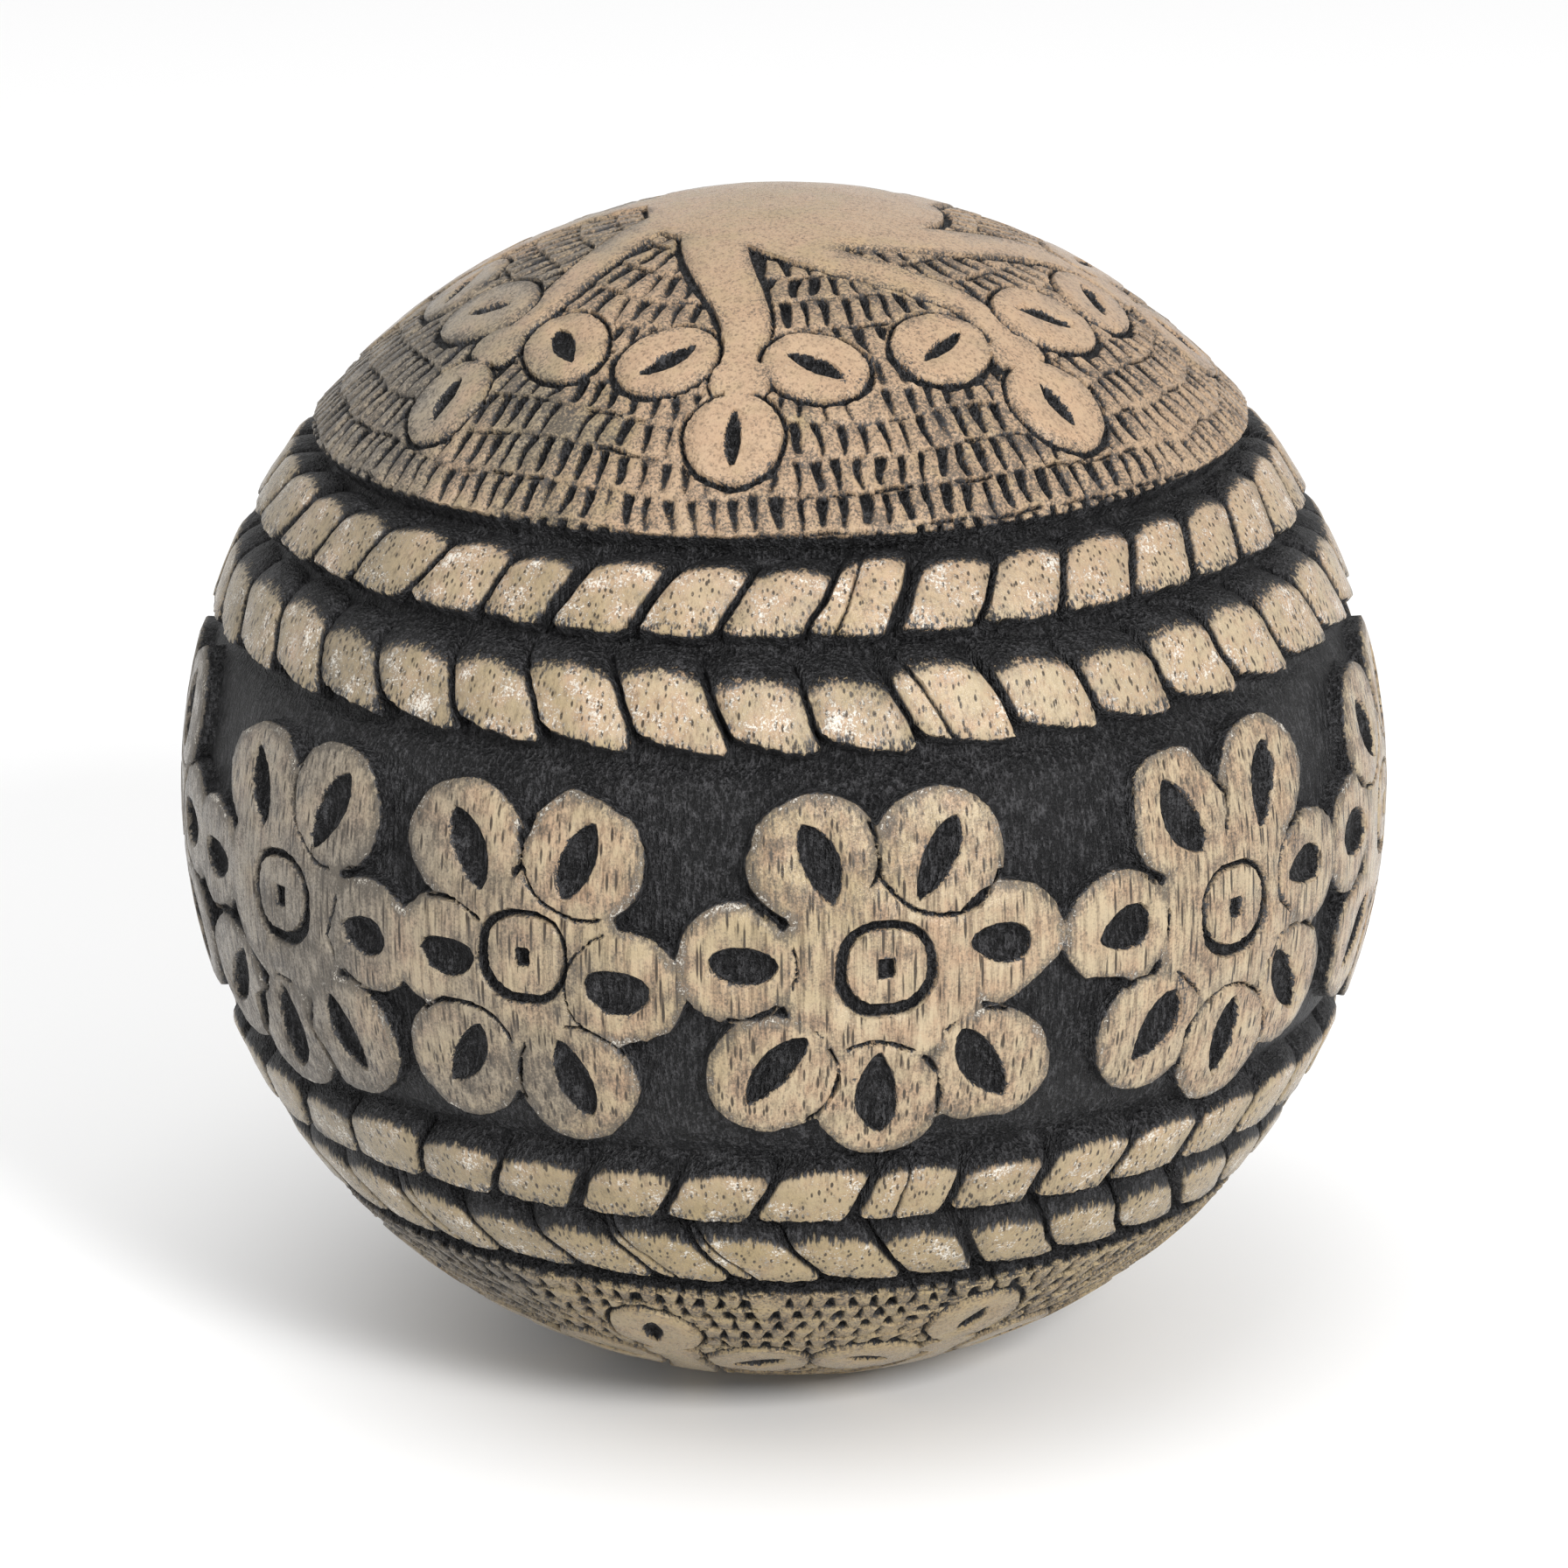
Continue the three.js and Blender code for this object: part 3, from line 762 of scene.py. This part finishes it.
# pale wood stained black, the stain rubbed off whatever stands proud
wood = {
    # taupe is painted shade, laid on the ball's left side
    "tan": (0.39, 0.312, 0.205), "peach": (0.375, 0.252, 0.16), "taupe": (0.23, 0.205, 0.172),
    # the pale worn colour serves the pale grain, the chipped edges and the painted highlights on them
    "olive": (0.28, 0.212, 0.108), "pore": (0.02, 0.014, 0.01), "paleWearAndGlint": (0.72, 0.68, 0.60),
    "stain": (0.002, 0.002, 0.0025), "rubbed": (0.066, 0.065, 0.068),
    "smoke": (0.062, 0.053, 0.043), "speck": (0.26, 0.25, 0.24),
    # patterns: features to the millimetre, detail, roughness, and length along the fibres as a divisor
    "fibre": (3.0, 2.0, 0.7, 0.2), "patchy": (0.45, 2.0), "fine": (4.5, 2.0, 0.75),
    "grain": (2.4, 3.0, 0.7, 0.05), "pores": (2.3, 0.075), "poreEdge": (0.34, 0.18),
    # where the stain takes over: depth, half the width of the change, and edges of cuts and carving
    "bareDepth": 0.44, "fade": 0.15, "cutEdge": (-0.1, 0.12), "carvingEdge": (-0.06, 0.16),
    # latitudes of the pinker cap, of its disc and of the painted shade below the belt, which darkens the
    # wood towards olive
    "pinkFrom": (26.0, 44.0), "discFrom": (66.0, 52.0), "shadedFootFrom": (-14.0, -30.0),
    # how strongly each tint is laid on, painted shade on the left side and below the belt among them
    "pinkCap": 0.75, "shadedFoot": 0.65, "greySide": 0.85, "darkGrain": 0.75, "paleGrain": 0.45,
    "darkPores": 0.9, "smoky": 0.85, "chips": 0.8, "specks": 0.6, "rubbedSole": 0.85,
    "soleEdge": (0.25, 0.05),  # height over which the flat spot's rim is rubbed bare
    "gloss": 0.22, "dull": 0.5, "shine": 0.27, "bump": 0.9, "bumpHeight": 0.2,
}


def mixed(tree, share, one, other):
    node = tree.nodes.new("ShaderNodeMix")
    node.data_type = "RGBA"
    plug(share, node.inputs[0])
    for item, slot in ((one, node.inputs[6]), (other, node.inputs[7])):
        if isinstance(item, tuple):
            slot.default_value = item + (1,)
        else:
            tree.links.new(item, slot)
    return node.outputs[2]


def rubbedWood():
    material = bpy.data.materials.new("rubbedWood")
    material.use_nodes = True
    tree = material.node_tree
    shader = tree.nodes["Principled BSDF"]
    place = tree.nodes.new("ShaderNodeVectorMath")
    place.operation = "MULTIPLY_ADD"
    tree.links.new(tree.nodes.new("ShaderNodeTexCoord").outputs["Object"], place.inputs[0])
    place.inputs[1].default_value = (1 / mm, 1 / mm, waistRadius / poleRadius / mm)
    place.inputs[2].default_value = (0, 0, -centreZ * waistRadius / poleRadius)
    here = place.outputs[0]  # millimetres from the centre, with the ball made round
    x, y, z = parted(tree, here)
    depth = waistRadius - (x * x + y * y + z * z).run("SQRT")
    outward = tree.nodes.new("ShaderNodeVectorMath")
    outward.operation = "NORMALIZE"
    tree.links.new(here, outward.inputs[0])
    vector = scaled(tree, outward.outputs[0], (waistRadius,) * 3)
    lon, lat = placeOnBall(tree, here)
    slow, quick, torn = handWander(tree, vector)
    onCap, onGround = zones(lat, torn)
    onRope = 1.0 - onGround.most(onCap)

    def attribute(name):
        node = tree.nodes.new("ShaderNodeAttribute")
        node.attribute_name = name
        return Wire(tree, node.outputs["Fac"])

    # crisp cuts and nicks, on top of the depth that the mesh holds
    ropeLine, above, fall = ropeDepth(tree, lon, lat, slow, quick, torn)
    nick = nickRows(tree, lon, lat, slow, quick)[0]
    margin, cut = attribute("margin"), attribute("cut")
    inField = margin.ramp(*nicks["stainFromOutline"]) * onCap

    fibre, patchy, fine, grain = [
        noiseAt(tree, here, *wood[key]) for key in ("fibre", "patchy", "fine", "grain")]
    cloud = slow * 0.8 + quick * 0.4

    # how much wood shows: whole on the tops, none in the cuts, torn in between
    ragged = fine * 0.07 + fibre * 0.09 + patchy.ramp(0.0, 0.5) * (fine + fibre) * 0.4
    deep = depth.most(ropeLine * onRope * 0.9)
    deep = deep.most((nick * nicks["depth"] + turned["fieldDepth"]) * inField)
    deep = deep.most((cut + ragged * 1.3).ramp(*wood["cutEdge"]))
    deep = deep.most((margin + ragged).ramp(*wood["carvingEdge"]) * onGround)
    fringe = above.ramp(1.5, 0.1).most(fall.ramp(0.0, 0.12) * 0.5) * onRope
    edge = deep + fibre * (fringe * 0.9 + 0.24) + fringe * 0.12 + fine * 0.12 + cloud * 0.08 \
        + onCap * (fine * 0.16 + patchy * 0.1)
    bare = edge.ramp(wood["bareDepth"] + wood["fade"], wood["bareDepth"] - wood["fade"])

    # thin stain left on the wood: in its pores, along the rims and in patches, together with painted
    # shade that greys the ball's left side (towards -x)
    leftSideShade = (x * -0.022 + cloud * 0.5).ramp(0.2, 0.95) * (1.0 - onRope * 0.5)
    rim = margin.ramp(-1.1, -0.1) * (1.0 - onRope)
    stainPatchesAndShade = fine * (onCap * 0.9 + 0.9) + fibre * 0.9 + patchy * 0.9 + cloud * 0.5 + rim * 0.7 \
        + leftSideShade * 0.3 + onGround * 0.2 - onCap * 0.28
    stainFilmAndShade = (edge.ramp(0.02, 0.5) * (0.45 - onCap * 0.15) + stainPatchesAndShade.ramp(0.0, 1.15) * 0.9).held()

    # tints of the wood, each laid over those before it; among them are painted shade on the left side and
    # below the belt, and painted highlights on chipped edges
    highUp = (lat + cloud * 6.0).ramp(*wood["pinkFrom"])
    warmth = (x * -0.012 + cloud - patchy * 0.6).ramp(-0.1, 0.6)
    yellow = warmth * (onRope * 0.3 + onCap * lat.ramp(*wood["discFrom"]) * 0.35 + 0.45)
    streaks = (grain + fine * 0.3 + onGround * 0.15).ramp(-0.1, 0.8)
    pores = (pointsAt(tree, here, *wood["pores"]) + fibre * 0.16).ramp(*wood["poreEdge"])
    pores = pores * (cloud + grain).ramp(-1.0, -0.3) * (wood["darkPores"] - onCap * 0.6)
    # wear and painted highlight: pale glints along the flowers' rims and beside the cuts between strands
    chipsAndGlints = margin.ramp(-0.7, -0.15) * onGround + deep.ramp(0.08, 0.16) * deep.ramp(0.4, 0.28) * onRope
    chips = chipsAndGlints * (fine + patchy * 0.8 + fibre * 0.4 + onRope * 0.05).ramp(0.15, 0.65)
    colour = mixed(tree, (patchy * 0.9 + grain * 0.5).ramp(-0.4, 0.5), wood["tan"], wood["peach"])
    for share, tint in [
        (highUp * wood["pinkCap"], "peach"),
        (yellow, "olive"),
        # painted shade: darker, more olive wood below the belt
        (lat.ramp(*wood["shadedFootFrom"]) * wood["shadedFoot"], "olive"),
        # painted shade: grey-taupe on the ball's left side
        (leftSideShade * wood["greySide"], "taupe"),
        (streaks * wood["darkGrain"], "pore"),
        ((fine * 0.6 - grain * 0.6).ramp(0.25, 0.9) * wood["paleGrain"], "paleWearAndGlint"),
        (pores, "pore"),
        # stain film, with a share of painted shade from the left side
        (stainFilmAndShade * wood["smoky"], "smoke"),
        # chipped edges: real wear with painted highlights
        (chips * wood["chips"], "paleWearAndGlint"),
    ]:
        colour = mixed(tree, share, colour, wood[tint])

    flecks = (fibre * 0.9 + fine * 0.8 + patchy * 0.3).ramp(-0.2, 0.8)
    black = mixed(tree, flecks, wood["stain"], wood["rubbed"])
    specks = (fine + grain * 0.5 + fibre * 0.4).ramp(0.5, 1.0) * wood["specks"]
    black = mixed(tree, specks, black, wood["speck"])
    soleZ = -waistRadius * (centreZ / poleRadius)
    soleRim = z.ramp(*[soleZ + rise for rise in wood["soleEdge"]])
    bare = bare.most(soleRim * wood["rubbedSole"])
    tree.links.new(mixed(tree, bare, black, colour), shader.inputs["Base Color"])

    bareRoughness = fine * 0.15 + stainFilmAndShade * 0.25 + wood["gloss"]
    plug(blendOf(fibre * 0.1 + wood["dull"], bareRoughness, bare), shader.inputs["Roughness"])
    shader.inputs["Specular IOR Level"].default_value = wood["shine"]
    bump = tree.nodes.new("ShaderNodeBump")
    bump.inputs["Strength"].default_value = wood["bump"]
    bump.inputs["Distance"].default_value = wood["bumpHeight"] * mm
    # the chiselled ground is rougher than the rubbed tops
    plug(blendOf(fine * 0.25, fibre * 1.6 + fine * 0.9, depth.ramp(0.3, 0.6)), bump.inputs["Height"])
    tree.links.new(bump.outputs[0], shader.inputs["Normal"])
    return material


room = {
    "floorReach": 4.0, "paper": (0.9, 0.9, 0.9), "paperRoughness": 0.9,  # metres
    "light": 0.8, "backdropLift": 0.2,  # the backdrop looks white, while it lights the ball a little less
    "lamps": {
        "key": {"azimuth": 26, "elevation": 28, "distance": 1.0, "size": 0.22, "power": 8.5},
        "over": {"azimuth": -30, "elevation": 70, "distance": 1.1, "size": 0.9, "power": 5.0},
    },
    # distance in waist radii, drop in millimetres
    "camera": {"elevation": 17.4, "roll": 0.6, "distance": 12.0, "drop": 0.47, "lens": 165.8,
               "sensor": 36, "nearest": 0.01, "farthest": 20},
}


def direction(azimuth, elevation):
    return Vector(unit(azimuth, elevation))


def paperFloor():
    reach = room["floorReach"]
    floorMesh = bpy.data.meshes.new("floor")
    corners = [(-reach, -reach, 0), (reach, -reach, 0), (reach, reach, 0), (-reach, reach, 0)]
    floorMesh.from_pydata(corners, [], [(0, 1, 2, 3)])
    paper = bpy.data.materials.new("paper")
    paper.use_nodes = True
    shader = paper.node_tree.nodes["Principled BSDF"]
    shader.inputs["Base Color"].default_value = room["paper"] + (1,)
    shader.inputs["Roughness"].default_value = room["paperRoughness"]
    floorMesh.materials.append(paper)
    return newThing("floor", floorMesh)


def softRoom():
    world = bpy.data.worlds.new("softRoom")
    bpy.context.scene.world = world
    world.use_nodes = True
    tree = world.node_tree
    sky = tree.nodes["Background"]
    sky.inputs[0].default_value = (1, 1, 1, 1)
    seen = Wire(tree, tree.nodes.new("ShaderNodeLightPath").outputs["Is Camera Ray"])
    plug(seen * room["backdropLift"] + room["light"], sky.inputs[1])


def addLamp(name, lamp, target):
    light = bpy.data.lights.new(name, "AREA")
    light.size, light.energy = lamp["size"], lamp["power"]
    thing = newThing(name, light)
    thing.location = target + direction(lamp["azimuth"], lamp["elevation"]) * lamp["distance"]
    thing.rotation_euler = (target - thing.location).to_track_quat("-Z", "Y").to_euler()
    thing.visible_camera = False


def addCamera(target):
    view = room["camera"]
    camera = newThing("camera", bpy.data.cameras.new("camera"))
    back = direction(0, view["elevation"])
    upward = direction(0, view["elevation"] + 90)
    camera.location = target + back * view["distance"] * waistRadius * mm - upward * view["drop"] * mm
    camera.rotation_mode = "QUATERNION"
    rolled = Quaternion((0, 0, 1), -math.radians(view["roll"]))
    camera.rotation_quaternion = (-back).to_track_quat("-Z", "Y") @ rolled
    camera.data.lens = view["lens"]
    camera.data.sensor_width = view["sensor"]
    camera.data.clip_start, camera.data.clip_end = view["nearest"], view["farthest"]
    bpy.context.scene.camera = camera


def studio():
    paperFloor()
    softRoom()
    target = Vector((0, 0, centreZ * mm))
    for name, lamp in room["lamps"].items():
        addLamp(name, lamp, target)
    addCamera(target)
    bpy.context.scene.view_settings.view_transform = "Standard"


studio()
print("studio ready")
ball = carvedBall(rubbedWood())
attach(ball, "root")
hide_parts("carved_ball")
